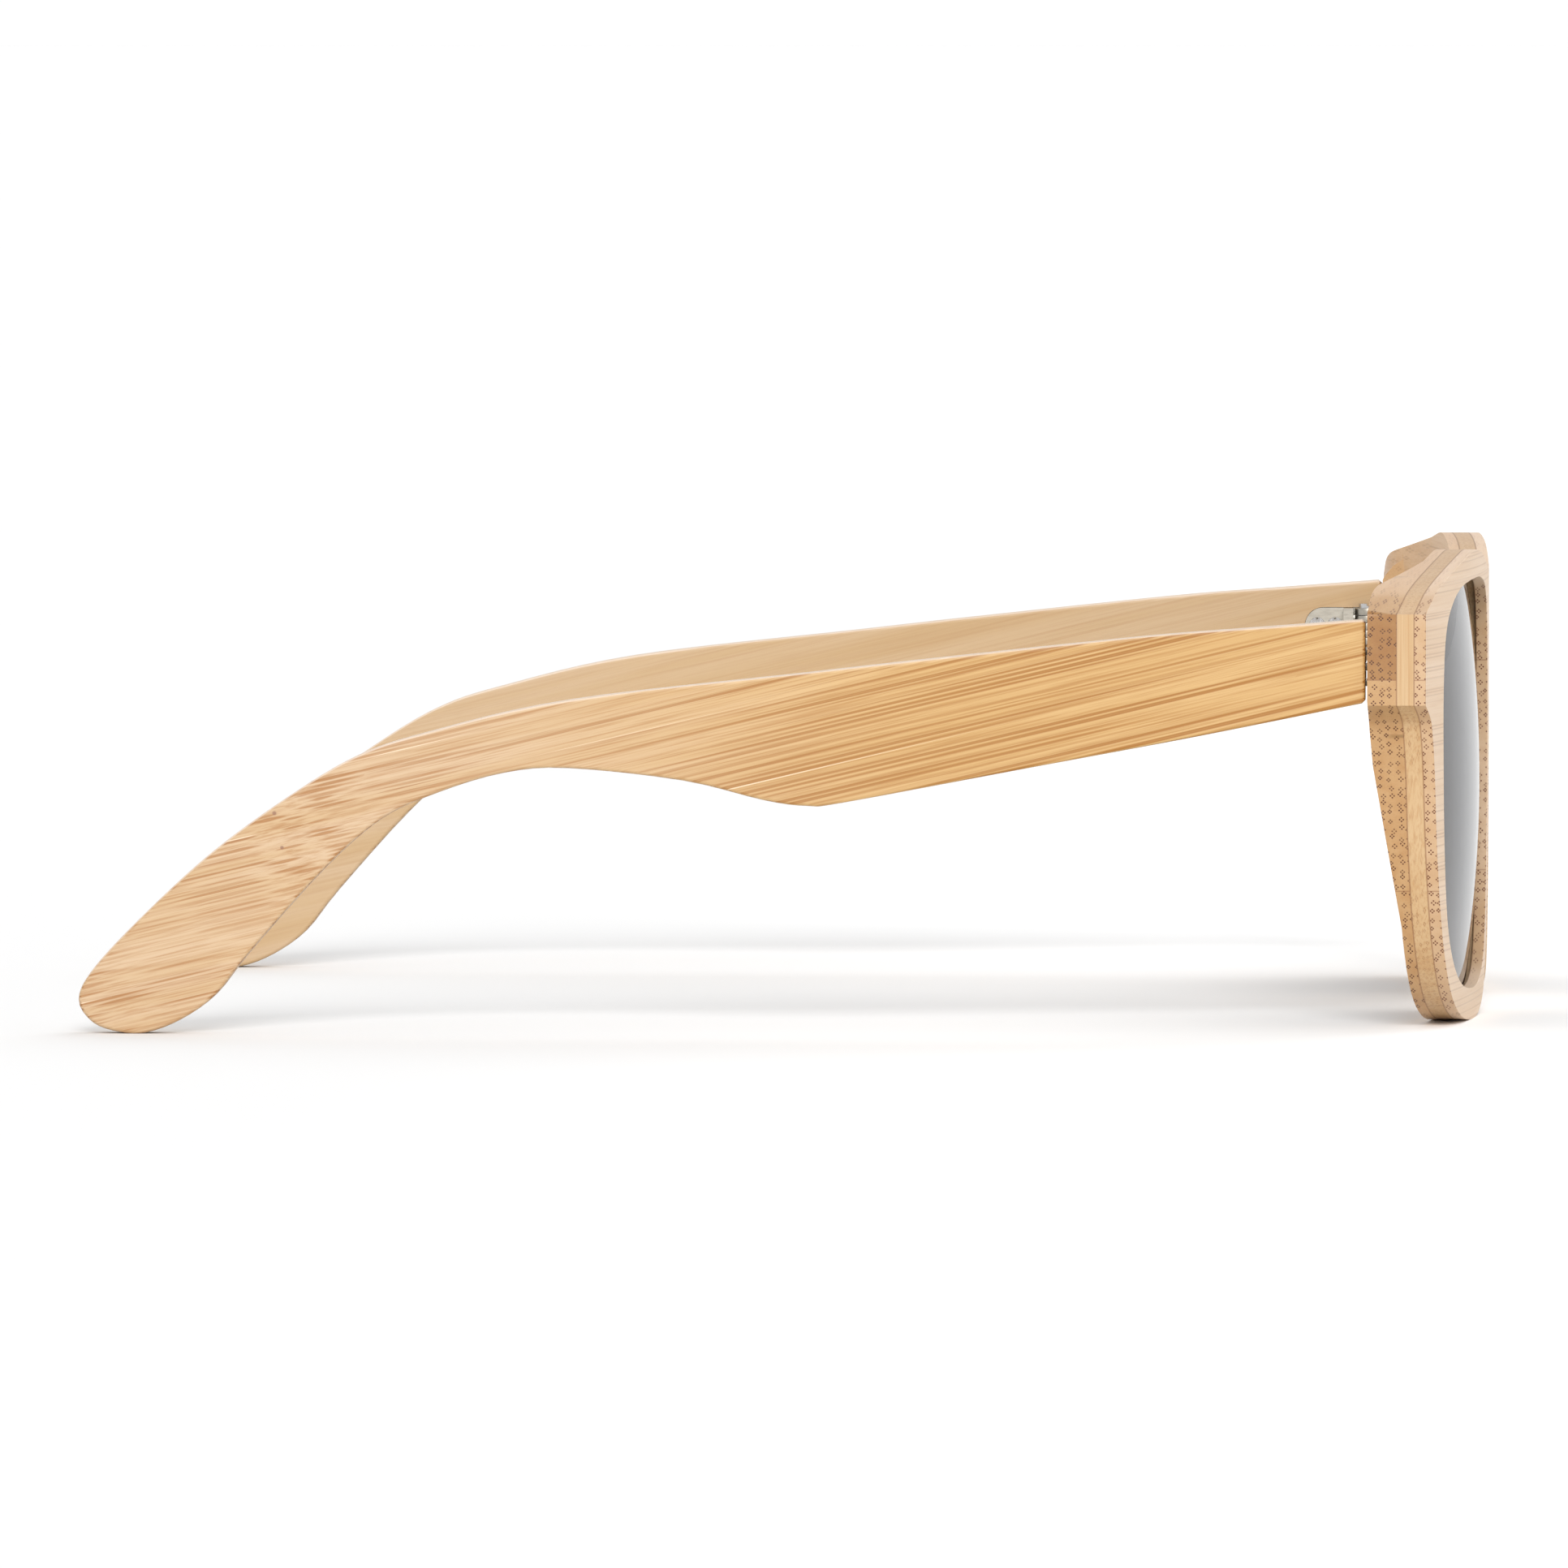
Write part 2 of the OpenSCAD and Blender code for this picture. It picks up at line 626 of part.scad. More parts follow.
front_ply();
core_ply();
back_ply();
nose_pad_right();
nose_pad_left();
lens_right();
lens_left();
temple_right();
temple_left();
front_leaf_right();
front_leaf_left();
temple_leaf_right();
temple_leaf_left();
pivot_screw_right();
pivot_screw_left();
front_screw_right(1);  // front_screw_upper_right
front_screw_right(-1);  // front_screw_lower_right
front_screw_left(1);  // front_screw_upper_left
front_screw_left(-1);  // front_screw_lower_left
temple_screw_right(fore_screw_y);  // temple_screw_fore_right
temple_screw_right(aft_screw_y);  // temple_screw_aft_right
temple_screw_left(fore_screw_y);  // temple_screw_fore_left
temple_screw_left(aft_screw_y);  // temple_screw_aft_left
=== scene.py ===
"""Wooden sunglasses: bamboo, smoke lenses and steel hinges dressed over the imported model."""
import bpy
import bmesh
import math
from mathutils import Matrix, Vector


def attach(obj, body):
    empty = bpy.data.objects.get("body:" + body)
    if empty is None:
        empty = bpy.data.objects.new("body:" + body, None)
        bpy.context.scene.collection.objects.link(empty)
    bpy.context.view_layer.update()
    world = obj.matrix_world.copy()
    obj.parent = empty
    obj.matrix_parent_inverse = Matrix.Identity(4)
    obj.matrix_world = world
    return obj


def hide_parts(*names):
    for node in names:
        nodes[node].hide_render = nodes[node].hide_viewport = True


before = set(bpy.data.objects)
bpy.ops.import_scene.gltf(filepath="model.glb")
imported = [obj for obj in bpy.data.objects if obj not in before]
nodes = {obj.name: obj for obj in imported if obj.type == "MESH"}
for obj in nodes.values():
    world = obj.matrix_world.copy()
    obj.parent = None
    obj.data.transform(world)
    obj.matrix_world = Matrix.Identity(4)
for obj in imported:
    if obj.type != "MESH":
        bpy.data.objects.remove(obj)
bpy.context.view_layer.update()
scene = bpy.context.scene

MM_PER_METRE = 1000.0

# Sizes of the front in millimetres, as the solids have them. Glue lines lie behind its face.
WRAP_RADIUS = 434.0
WRAP_AXIS_Y = 360.549
FRONT_GLUE = -1.2
BACK_GLUE = -3.0
STRIP_START = 14.8
STRIP_HEIGHT = 22.4
# Middle of the ball that the left lens is cut from. The right lens mirrors it.
LENS_MIDDLE = (22.105, 87.342, 25.0)
# The top of the nose arch is part of an ellipse: its middle's height, half height and half width.
ARCH_MIDDLE, ARCH_RISE, ARCH_SPAN = 24.36, 8.94, 5.77
# Reach of that top to each side, and the heights it lies between.
ARCH_REACH, ARCH_LOW, ARCH_HIGH = 4.0, 29.0, 34.5


# Small helpers for node trees

def feed(tree, socket, value):
    """Links a socket to another one, or gives it a plain value."""
    if isinstance(value, bpy.types.NodeSocket):
        tree.links.new(value, socket)
    else:
        socket.default_value = value


def fill(tree, node, sockets):
    for key, value in sockets.items():
        feed(tree, node.inputs[key], value)


def add(tree, kind, sockets=None, **settings):
    """A new node with its settings made and its sockets fed."""
    node = tree.nodes.new(kind)
    for key, value in settings.items():
        setattr(node, key, value)
    fill(tree, node, sockets or {})
    return node


def placed(tree, group, sockets):
    return add(tree, "ShaderNodeGroup", sockets, node_tree=group).outputs


def coordinates(tree):
    return tree.nodes.new("ShaderNodeTexCoord").outputs


def vec(tree, x=0.0, y=0.0, z=0.0):
    return add(tree, "ShaderNodeCombineXYZ", {"X": x, "Y": y, "Z": z}).outputs[0]


def parts(tree, vector):
    return add(tree, "ShaderNodeSeparateXYZ", {"Vector": vector}).outputs


def calc(tree, operation, a, b=0.0):
    return add(tree, "ShaderNodeMath", {0: a, 1: b}, operation=operation).outputs[0]


def times(tree, value, *others):
    for other in others:
        value = calc(tree, "MULTIPLY", value, other)
    return value


def plus(tree, value, *others):
    for other in others:
        value = calc(tree, "ADD", value, other)
    return value


def minus(tree, value, other):
    return calc(tree, "SUBTRACT", value, other)


def unsigned(tree, value):
    return calc(tree, "ABSOLUTE", value)


def reach(tree, u, v):
    """Distance to a point that lies at u and v."""
    return calc(tree, "SQRT", plus(tree, times(tree, u, u), times(tree, v, v)))


def in_mm(tree, vector):
    """The three parts of a place, in millimetres."""
    return [times(tree, part, MM_PER_METRE) for part in parts(tree, vector)]


def dot(tree, vector, way):
    return add(tree, "ShaderNodeVectorMath", {0: vector, 1: way},
               operation="DOT_PRODUCT").outputs["Value"]


def ramp(tree, value, low, high, out_low=0.0, out_high=1.0):
    return add(tree, "ShaderNodeMapRange",
               {0: value, 1: low, 2: high, 3: out_low, 4: out_high},
               interpolation_type="SMOOTHSTEP").outputs[0]


def fade(tree, distance, inner, outer):
    """One up to the inner distance, and nothing past the outer one."""
    return ramp(tree, distance, inner, outer, 1.0, 0.0)


def mix(tree, share, a, b, blend="MIX"):
    return add(tree, "ShaderNodeMix", {0: share, 6: a, 7: b},
               data_type="RGBA", blend_type=blend).outputs[2]


def noise(tree, vector, scale=1.0, detail=2.0, roughness=0.5):
    return add(tree, "ShaderNodeTexNoise", {
        "Vector": vector, "Scale": scale, "Detail": detail,
        "Roughness": roughness}).outputs["Fac"]


def bumped(tree, height, strength, distance):
    return add(tree, "ShaderNodeBump", {
        "Strength": strength, "Distance": distance, "Height": height}).outputs[0]


def rgb(r, g, b):
    """A colour as seen on a screen, 0 to 255, made linear."""
    def linear(v):
        v /= 255.0
        return v / 12.92 if v <= 0.04045 else ((v + 0.055) / 1.055) ** 2.4
    return (linear(r), linear(g), linear(b), 1.0)


def grey(tone):
    """A neutral colour of a linear tone."""
    return (tone, tone, tone, 1.0)


FLOAT, VECTOR, COLOR = "NodeSocketFloat", "NodeSocketVector", "NodeSocketColor"


def new_group(name, inputs, outputs):
    """An empty node group: its tree, the sockets it is given and the sockets of its result."""
    tree = bpy.data.node_groups.new(name, "ShaderNodeTree")
    for label, kind, default in inputs:
        socket = tree.interface.new_socket(label, in_out="INPUT", socket_type=kind)
        if default is not None:
            socket.default_value = default
    for label, kind in outputs:
        tree.interface.new_socket(label, in_out="OUTPUT", socket_type=kind)
    given = tree.nodes.new("NodeGroupInput").outputs
    result = tree.nodes.new("NodeGroupOutput").inputs
    return tree, given, result


# Effects that several woods share

# Waves of the wood's noise per millimetre, along and across the grain.
DRIFT_WAVES = (0.015, 0.12)
FINE_WAVES = (0.07, 5.0)
SLOW_WAVES = (0.02, 0.45)
# How far bundles and hair lines stray from a regular order.
BUNDLE_DISORDER, HAIR_DISORDER = 0.58, 1.0
# Drift of the bundles into the depth, as a share of their drift to the side.
DEPTH_DRIFT = 0.4
# Rings of dots and bundles differ in size: their least share, and what chance adds.
RING_VARIES, BUNDLE_VARIES = (0.8, 0.4), (0.6, 0.8)
# Share of a dot's and of a sheath's size that is full before it fades.
DOT_CORE, SHEATH_CORE = 0.5, 0.3
# Pale heart of a bundle: full up to this distance, and gone at this share of the ring of dots.
HEART_CORE, HEART_EDGE, HEART_SHARE = 0.03, 0.75, 0.6
# Noise between which fine fibres and slow tones grow, and chances for a bundle's strength.
FINE_RANGE, SLOW_RANGE, STRENGTH_RANGE = (0.42, 0.7), (0.32, 0.68), (0.05, 0.75)
# Surface of sanded bamboo: its least roughness, what fibres and pores add, and their heights.
SANDED_ROUGH, ROUGH_SPAN = 0.38, 0.16
FIBRE_HEIGHT, PORE_DEPTH, STREAK_DEPTH = 0.35, 0.6, 0.25
# Half widths of the glue lines: between plies in millimetres, between strips as strip shares.
PLY_LINE = (0.035, 0.11)
STRIP_LINE = (0.0012, 0.0045)
# Counts of strips between which the lower strip's tone goes over into the upper one's.
UPPER_STRIP = (0.2, 0.8)
# Hair lines: how sharp they are, how slowly they end in the depth, and the pale edge's place.
HAIR_CORE, HAIR_DEPTH, HAIR_EDGE = 0.3, 0.5, 1.7
# Chances between which a hair line goes from absent to full.
HAIR_CHANCE = (0.2, 0.9)


def fibre_noise(tree, grain, waves, detail, roughness=0.5):
    """Noise drawn out along the grain."""
    along, across = waves
    place = vec(tree, *(times(tree, part, wave)
                        for part, wave in zip(grain, (along, across, across))))
    return noise(tree, place, 1.0, detail, roughness)


def nearest_bundle(tree, section, spacing, disorder):
    """The nearest bundle in a cut across the grain: the ways to it, and its three chances."""
    cells = add(tree, "ShaderNodeTexVoronoi", {
        "Vector": section, "Randomness": disorder, "Scale": calc(tree, "DIVIDE", 1.0, spacing)},
        voronoi_dimensions="2D", feature="F1").outputs
    off = add(tree, "ShaderNodeVectorMath", {0: section, 1: cells["Position"]},
              operation="SUBTRACT").outputs[0]
    aside, deep, _ = parts(tree, off)
    return aside, deep, parts(tree, cells["Color"])


def make_bent_front():
    """Place in the bent front, in millimetres: along the arc, out from the front face, and up."""
    tree, given, result = new_group(
        "bent_front_place", [("Vector", VECTOR, None)],
        [("Arc", FLOAT), ("Depth", FLOAT), ("Height", FLOAT)])
    x, y, z = in_mm(tree, given["Vector"])
    ahead = minus(tree, WRAP_AXIS_Y, y)
    feed(tree, result["Arc"], times(tree, calc(tree, "ARCTAN2", x, ahead), WRAP_RADIUS))
    feed(tree, result["Depth"], minus(tree, reach(tree, x, ahead), WRAP_RADIUS))
    feed(tree, result["Height"], z)
    return tree


def make_bamboo():
    """Solid bamboo: vessel bundles that run along X of the grain vector, in millimetres.
    Cut along, they are brown lines. Cut across, they are rings of dark dots."""
    tree, given, result = new_group("bamboo_solid", [
        ("Grain", VECTOR, None), ("Spacing", FLOAT, 1.15), ("Bundle", FLOAT, 0.3),
        ("Ring", FLOAT, 0.17), ("Dot", FLOAT, 0.1), ("Streaks", FLOAT, 0.5), ("Dots", FLOAT, 0.8),
        ("Drift", FLOAT, 0.2), ("Fine", FLOAT, 0.3), ("Vary", FLOAT, 0.5),
        ("Pale", COLOR, rgb(236, 204, 158)), ("Warm", COLOR, rgb(224, 182, 126)),
        ("Fibre", COLOR, rgb(196, 140, 78)), ("Dark", COLOR, rgb(134, 88, 50))],
        [("Color", COLOR), ("Roughness", FLOAT), ("Height", FLOAT)])

    def varied(size, chance, least, added):
        """A size that differs from bundle to bundle."""
        return times(tree, size, plus(tree, least, times(tree, chance, added)))

    grain = parts(tree, given["Grain"])
    _, side, depth = grain
    # Bundles wander a little on their way.
    drift = fibre_noise(tree, grain, DRIFT_WAVES, detail=1.0)
    shift = times(tree, minus(tree, drift, 0.5), given["Drift"])
    section = vec(tree, plus(tree, side, shift),
                  minus(tree, depth, times(tree, shift, DEPTH_DRIFT)))
    aside, deep, chance = nearest_bundle(tree, section, given["Spacing"], BUNDLE_DISORDER)
    aside, deep = unsigned(tree, aside), unsigned(tree, deep)
    # Four dots stand in a ring, in a brown sheath with a pale heart.
    ring = varied(given["Ring"], chance[1], *RING_VARIES)
    nearest = calc(tree, "MINIMUM", reach(tree, minus(tree, aside, ring), deep),
                   reach(tree, aside, minus(tree, deep, ring)))
    dots = fade(tree, nearest, times(tree, given["Dot"], DOT_CORE), given["Dot"])
    middle = reach(tree, aside, deep)
    bundle = varied(given["Bundle"], chance[2], *BUNDLE_VARIES)
    sheath = fade(tree, middle, times(tree, bundle, SHEATH_CORE), bundle)
    heart = fade(tree, middle, HEART_CORE, times(tree, given["Ring"], HEART_EDGE))
    # Fine fibre lines and slow changes of tone.
    fine = fibre_noise(tree, grain, FINE_WAVES, detail=3.0, roughness=0.6)
    slow = fibre_noise(tree, grain, SLOW_WAVES, detail=2.0)
    fibres = times(tree, ramp(tree, fine, *FINE_RANGE), given["Fine"])
    strength = ramp(tree, chance[0], *STRENGTH_RANGE, minus(tree, 1.0, given["Vary"]), 1.0)
    streak = times(tree, sheath, strength, given["Streaks"])
    speck = times(tree, dots, strength, given["Dots"])
    pale = times(tree, heart, given["Dots"], HEART_SHARE)
    color = mix(tree, ramp(tree, slow, *SLOW_RANGE), given["Pale"], given["Warm"])
    for share, tone in ((fibres, "Fibre"), (streak, "Fibre"), (speck, "Dark"), (pale, "Pale")):
        color = mix(tree, share, color, given[tone])
    pores = times(tree, speck, PORE_DEPTH)
    rough = times(tree, plus(tree, fine, pores), ROUGH_SPAN)
    hollow = plus(tree, pores, times(tree, streak, STREAK_DEPTH))
    feed(tree, result["Color"], color)
    feed(tree, result["Roughness"], plus(tree, SANDED_ROUGH, rough))
    feed(tree, result["Height"], minus(tree, times(tree, fine, FIBRE_HEIGHT), hollow))
    return tree


def make_glue_lines():
    """Lines where two plies or two strips of a ply are glued, and a mark for the upper strip."""
    tree, given, result = new_group(
        "glue_lines", [("Depth", FLOAT, 0.0), ("Height", FLOAT, 0.0)],
        [("Ply Line", FLOAT), ("Strip Line", FLOAT), ("Strip Tone", FLOAT)])
    to_front, to_back = (unsigned(tree, minus(tree, given["Depth"], glue))
                         for glue in (FRONT_GLUE, BACK_GLUE))
    nearer = calc(tree, "MINIMUM", to_front, to_back)
    strips = calc(tree, "DIVIDE", minus(tree, given["Height"], STRIP_START), STRIP_HEIGHT)
    to_edge = calc(tree, "PINGPONG", strips, 0.5)
    feed(tree, result["Ply Line"], fade(tree, nearer, *PLY_LINE))
    feed(tree, result["Strip Line"], fade(tree, to_edge, *STRIP_LINE))
    feed(tree, result["Strip Tone"], ramp(tree, calc(tree, "FLOOR", strips), *UPPER_STRIP))
    return tree


def make_long_hairs():
    """Hair lines far apart along X of the grain vector: a thin dark vessel and its pale edge."""
    tree, given, result = new_group(
        "long_hair_lines",
        [("Grain", VECTOR, None), ("Spacing", FLOAT, 1.5), ("Width", FLOAT, 0.09)],
        [("Dark", FLOAT), ("Light", FLOAT)])
    width = given["Width"]
    _, side, depth = parts(tree, given["Grain"])
    aside, deep, chance = nearest_bundle(
        tree, vec(tree, side, depth), given["Spacing"], HAIR_DISORDER)
    sunk = times(tree, unsigned(tree, deep), HAIR_DEPTH)

    def thread(away, luck):
        distance = plus(tree, unsigned(tree, away), sunk)
        line = fade(tree, distance, times(tree, width, HAIR_CORE), width)
        return times(tree, line, ramp(tree, luck, *HAIR_CHANCE))

    beside = minus(tree, aside, times(tree, width, HAIR_EDGE))
    feed(tree, result["Dark"], thread(aside, chance[0]))
    feed(tree, result["Light"], thread(beside, chance[1]))
    return tree


BENT = make_bent_front()
BAMBOO = make_bamboo()
GLUE = make_glue_lines()
HAIRS = make_long_hairs()


# Materials

WOOD_BUMP, WOOD_BUMP_DEPTH = 0.25, 0.00008
STEEL_BUMP, STEEL_BUMP_DEPTH = 0.06, 0.00002


def start_material(name):
    material = bpy.data.materials.new(name)
    material.use_nodes = True
    tree = material.node_tree
    tree.nodes.clear()
    shader = tree.nodes.new("ShaderNodeBsdfPrincipled")
    output = tree.nodes.new("ShaderNodeOutputMaterial")
    tree.links.new(shader.outputs[0], output.inputs[0])
    return material, tree, shader


def finish_wood(tree, shader, color, wood):
    fill(tree, shader, {
        "Base Color": color, "Roughness": wood["Roughness"], "Specular IOR Level": 0.5,
        "Normal": bumped(tree, wood["Height"], WOOD_BUMP, WOOD_BUMP_DEPTH)})


# Colours of the plies' details.
HAIR_BROWN = rgb(176, 130, 100)
# Pale colour of the painted sheen on upward faces.
PAINTED_SHEEN_PLY = rgb(232, 205, 182)
STRIP_GLUE_BROWN = rgb(132, 90, 56)
PLY_GLUE_BROWN = rgb(124, 82, 48)
NO_TINT = rgb(255, 255, 255)
# Share of the glue's colour in its lines.
GLUE_SHARE = 0.6
# A face that turns inward counts this much of its turn. The sign makes that turn positive.
INWARD_TURN = -0.25
# A face counts as cut across the grain between these turns, and shows dots between these shares.
CUT_ACROSS = (0.12, 0.42, 0.2, 1.0)
# Upward faces get a painted sheen, paler as light from above would make them: less where the ply
# is cut across.
PAINTED_SHEEN_TURN, PAINTED_SHEEN_SHARE, PAINTED_SHEEN_END_LOSS = (0.3, 0.8), 0.45, 0.25
# The upper strip's tint shows on faces that turn outward between these shares.
STRIP_TURN = (0.25, 0.75)
PLY_HAIRS = {"Spacing": 2.4, "Width": 0.1}


def ply_wood(name, upright, seed, values, strip_tint, end_tint, hair_share):
    """Bamboo of one ply. Its grain follows the bend, or stands upright.
    Its bundles are strong dots where it is cut across, and faint lines where it is cut along."""
    material, tree, shader = start_material(name)
    given = coordinates(tree)
    place = placed(tree, BENT, {"Vector": given["Object"]})
    normal = parts(tree, given["Normal"])
    to_side = calc(tree, "SIGN", parts(tree, given["Object"])[0])
    outward = times(tree, normal[0], to_side)
    if upright:
        along, beside = place["Height"], place["Arc"]
        facing = unsigned(tree, normal[2])
    else:
        along, beside = place["Arc"], place["Height"]
        facing = calc(tree, "MAXIMUM", outward, times(tree, outward, INWARD_TURN))
    across = ramp(tree, facing, *CUT_ACROSS)
    grain = vec(tree, along, beside, plus(tree, place["Depth"], seed))
    wood = placed(tree, BAMBOO, dict(values, Grain=grain,
                                     Dots=times(tree, across, values["Dots"])))
    glue = placed(tree, GLUE, {"Depth": place["Depth"], "Height": beside})
    hairs = placed(tree, HAIRS, dict(PLY_HAIRS, Grain=grain))

    thin = times(tree, hairs["Dark"], minus(tree, 1.0, across), hair_share)
    color = mix(tree, thin, wood["Color"], HAIR_BROWN)
    # Painted sheen: upward faces are mixed towards a pale colour, as if lit from above.
    painted_sheen = times(tree, ramp(tree, normal[2], *PAINTED_SHEEN_TURN),
                   minus(tree, PAINTED_SHEEN_SHARE, times(tree, across, PAINTED_SHEEN_END_LOSS)))
    color = mix(tree, painted_sheen, color, PAINTED_SHEEN_PLY)
    upper = times(tree, glue["Strip Tone"], ramp(tree, outward, *STRIP_TURN))
    color = mix(tree, upper, color, strip_tint, "MULTIPLY")
    color = mix(tree, across, color, end_tint, "MULTIPLY")
    strip_line = times(tree, glue["Strip Line"], across, GLUE_SHARE)
    color = mix(tree, strip_line, color, STRIP_GLUE_BROWN)
    color = mix(tree, times(tree, glue["Ply Line"], GLUE_SHARE), color, PLY_GLUE_BROWN)
    finish_wood(tree, shader, color, wood)
    return material


front_wood = ply_wood(
    "bamboo_front_ply", upright=False, seed=7.3, values={
        "Spacing": 0.88, "Bundle": 0.25, "Ring": 0.17, "Dot": 0.115, "Streaks": 0.12,
        "Dots": 1.0, "Fine": 0.12, "Vary": 0.25, "Drift": 0.12,
        "Pale": rgb(221, 196, 168), "Warm": rgb(215, 187, 155),
        "Fibre": rgb(194, 148, 106), "Dark": rgb(112, 60, 24)},
    strip_tint=NO_TINT, end_tint=rgb(220, 206, 187), hair_share=0.35)
core_wood = ply_wood(
    "bamboo_core_ply", upright=True, seed=3.1, values={
        "Spacing": 0.62, "Bundle": 0.2, "Ring": 0.11, "Dot": 0.07, "Streaks": 0.3,
        "Dots": 0.4, "Fine": 0.5,
        "Pale": rgb(195, 165, 125), "Warm": rgb(188, 154, 111),
        "Fibre": rgb(170, 126, 76), "Dark": rgb(120, 80, 44)},
    strip_tint=NO_TINT, end_tint=rgb(250, 246, 240), hair_share=0.0)
back_wood = ply_wood(
    "bamboo_back_ply", upright=False, seed=11.9, values={
        "Spacing": 0.88, "Bundle": 0.27, "Ring": 0.17, "Dot": 0.115, "Streaks": 0.16,
        "Dots": 1.0, "Fine": 0.2, "Vary": 0.25, "Drift": 0.12,
        "Pale": rgb(205, 168, 124), "Warm": rgb(196, 155, 108),
        "Fibre": rgb(176, 130, 82), "Dark": rgb(96, 50, 18)},
    strip_tint=rgb(218, 200, 170), end_tint=rgb(224, 216, 201), hair_share=0.3)


# The temple board leans this many degrees from its grain: in its own plane, and out of it.
TEMPLE_SLANT, TEMPLE_TILT = 13.5, 0.25
# Its outer face begins between these distances from the middle, in millimetres.
OUTER_FACE = (68.5, 70.8)
# Places along its grain in millimetres, from the hinge (+) to the tip (-), where it goes
# from yellow to rosy, where its front is most streaked, and where the neck's calm part lies.
ROSY_FROM_TO, STREAKED_FROM_TO = (28.0, -26.0), (22.0, 52.0)
CALM_FROM_TO, CALM_END = (8.0, -12.0), (-40.0, -30.0)
# Behind the neck the grain dives from here on, this deep per square millimetre.
DIVE_START, DIVE_BEND = -4.0, 0.00042
# The growth ring: its place behind the middle, its lean, how it ripples, how narrow it is
# and how far it lifts the grain.
RING_BACK, RING_LEAN, RING_RIPPLE, RING_WAVES = 41.0, 0.25, 5.0, 0.9
RING_NARROW, RING_LIFT = 0.012, 0.7
# Turns between which a face counts as cut across, and as getting a painted highlight on top.
TEMPLE_ACROSS, TEMPLE_HIGHLIGHT_TURN = (0.2, 0.6), (0.3, 0.7)
# Streaks and fine fibres of the inner face, and what the outer face adds to them.
INNER_STREAKS, OUTER_STREAKS, INNER_FINE, OUTER_FINE = 0.12, 0.76, 0.15, 0.4
# What the calm part takes from the streaks, what the front adds, and the outer face's dots.
CALM_LOSS, FRONT_GAIN, OUTER_DOTS = 0.4, 0.4, 0.15
# Shares of the rosy tone inside, of the hair lines, and of the painted highlight on the top edge.
INNER_ROSY, TEMPLE_HAIRS, TOP_HIGHLIGHT_SHARE = 0.85, 0.6, 0.6
# Colours of the board near the hinge and in its rosy part.
TEMPLE_PALE = (rgb(197, 160, 105), rgb(199, 171, 138))
TEMPLE_WARM = (rgb(191, 152, 95), rgb(193, 162, 122))
TEMPLE_FIBRE = (rgb(158, 106, 38), rgb(162, 112, 60))
# Colours of its details.
INNER_TINT = rgb(242, 240, 234)
DARK_HAIR, LIGHT_HAIR = rgb(150, 100, 60), rgb(242, 222, 192)
# Pale colour of the painted highlight along the top edge.
PAINTED_TOP_HIGHLIGHT = rgb(240, 224, 208)
KNOT_BROWN = rgb(132, 92, 74)
# Two small knots on the right temple: how far back, how high and how large, in millimetres.
KNOTS = ((52.9, 23.1, 0.3), (52.1, 19.5, 0.26))
KNOT_CORE, KNOT_SHARE = 0.4, 0.75


